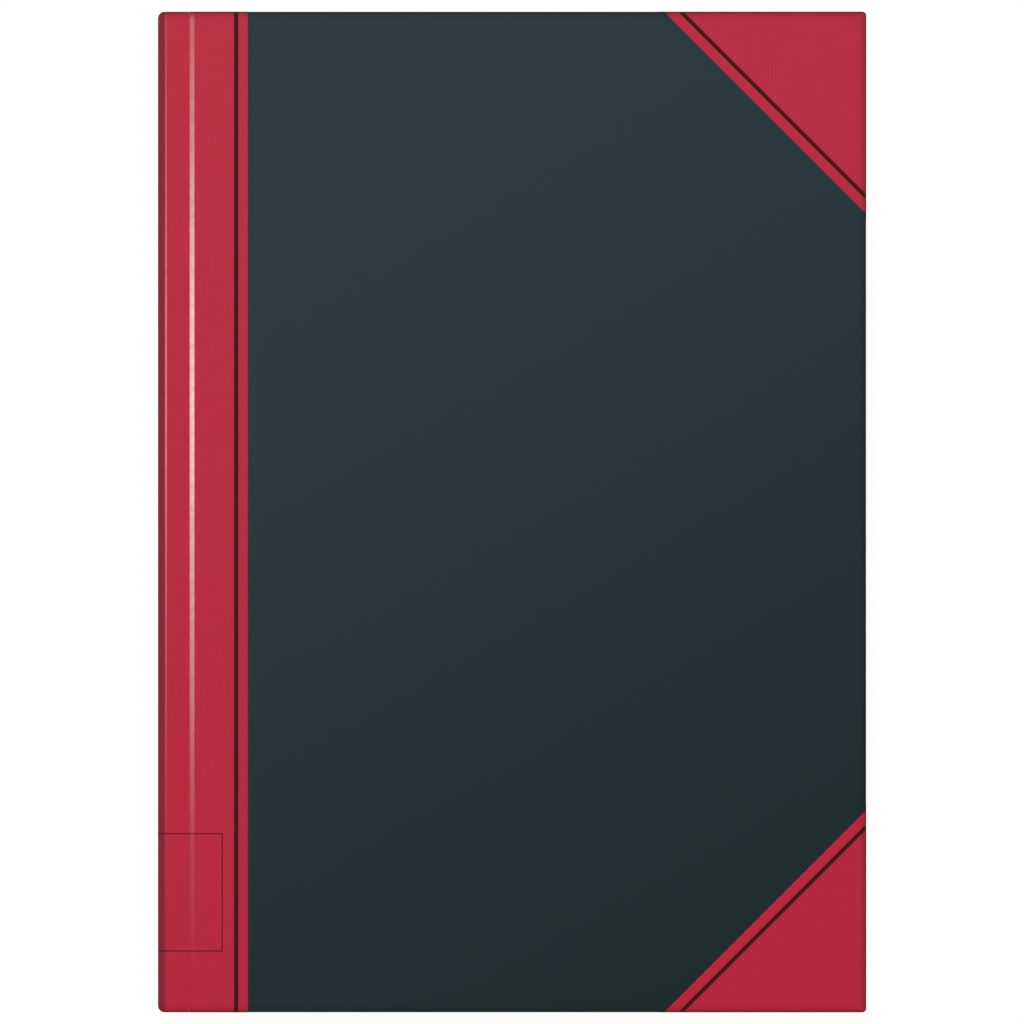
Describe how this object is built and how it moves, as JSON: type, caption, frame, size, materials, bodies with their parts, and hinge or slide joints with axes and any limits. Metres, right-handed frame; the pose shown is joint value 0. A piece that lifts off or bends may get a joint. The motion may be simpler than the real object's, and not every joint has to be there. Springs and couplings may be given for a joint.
{
  "type": "clothbound notebook",
  "caption": "Closed hardcover notebook with a cloth spine, triangular cloth corners, ruled borders and dark paper sides; both covers swing open on cloth joints around a sewn block.",
  "frame": {"origin": "on the surface that the closed notebook lies on, under the middle of its back cover", "axes": "+X from the spine to the fore edge, +Y from the tail to the head, +Z from the back cover up to the front cover"},
  "size_m": [0.2144, 0.303, 0.0155],
  "materials": {
    "book_cloth": "fine woven book cloth",
    "cover_paper": "matt grained cover paper",
    "rule_foil": "stamped pigment foil",
    "grey_board": "raw grey board",
    "page_paper": "uncoated writing paper",
    "endpaper": "uncoated heavy paper",
    "mull_gauze": "open starched gauze",
    "kraft_paper": "ribbed kraft paper",
    "glue": "dried animal glue",
    "thread": "waxed linen thread"
  },
  "bodies": {
    "block": {"section_1": "page_paper", "section_2": "page_paper", "section_3": "page_paper", "section_4": "page_paper", "section_5": "page_paper", "section_6": "page_paper", "sewing_thread": "thread", "spine_glue": "glue", "mull": "mull_gauze", "kraft_lining": "kraft_paper", "spine_card": "grey_board", "spine_cloth": "book_cloth", "front_tipped_strip": "endpaper", "back_tipped_strip": "endpaper"},
    "front_cover": {"front_board": "grey_board", "front_cover_paper": "cover_paper", "front_hinge_cloth": "book_cloth", "front_head_corner": "book_cloth", "front_tail_corner": "book_cloth", "front_spine_rule": "rule_foil", "front_head_corner_rule": "rule_foil", "front_tail_corner_rule": "rule_foil", "front_mull_wing": "mull_gauze", "front_pastedown": "endpaper"},
    "back_cover": {"back_board": "grey_board", "back_cover_paper": "cover_paper", "back_hinge_cloth": "book_cloth", "back_head_corner": "book_cloth", "back_tail_corner": "book_cloth", "back_spine_rule": "rule_foil", "back_head_corner_rule": "rule_foil", "back_tail_corner_rule": "rule_foil", "back_mull_wing": "mull_gauze", "back_pastedown": "endpaper"},
    "flyleaf_front": {"front_flyleaf": "endpaper"},
    "leaves_front": {"first_leaves": "page_paper"},
    "flyleaf_back": {"back_flyleaf": "endpaper"}
  },
  "joints": [
    {"name": "front_cover_hinge", "type": "hinge", "parent": "block", "child": "front_cover", "pos_m": [-0.1044, 0, 0.01336], "axis": [0, -1, 0], "range_deg": [0, 180]},
    {"name": "back_cover_hinge", "type": "hinge", "parent": "block", "child": "back_cover", "pos_m": [-0.1044, 0, 0.00215], "axis": [0, 1, 0], "range_deg": [0, 180]},
    {"name": "front_flyleaf_bend", "type": "hinge", "parent": "block", "child": "flyleaf_front", "pos_m": [-0.09625, 0, 0.01272], "axis": [0, -1, 0], "range_deg": [0, 170]},
    {"name": "first_leaves_bend", "type": "hinge", "parent": "block", "child": "leaves_front", "pos_m": [-0.09425, 0, 0.01256], "axis": [0, -1, 0], "range_deg": [0, 167]},
    {"name": "back_flyleaf_bend", "type": "hinge", "parent": "block", "child": "flyleaf_back", "pos_m": [-0.09625, 0, 0.00279], "axis": [0, 1, 0], "range_deg": [0, 170]}
  ],
  "couplings": [
    {"joint": "front_flyleaf_bend", "follows": "front_cover_hinge", "ratio": 0.94444},
    {"joint": "first_leaves_bend", "follows": "front_cover_hinge", "ratio": 0.92778},
    {"joint": "back_flyleaf_bend", "follows": "back_cover_hinge", "ratio": 0.94444}
  ]
}
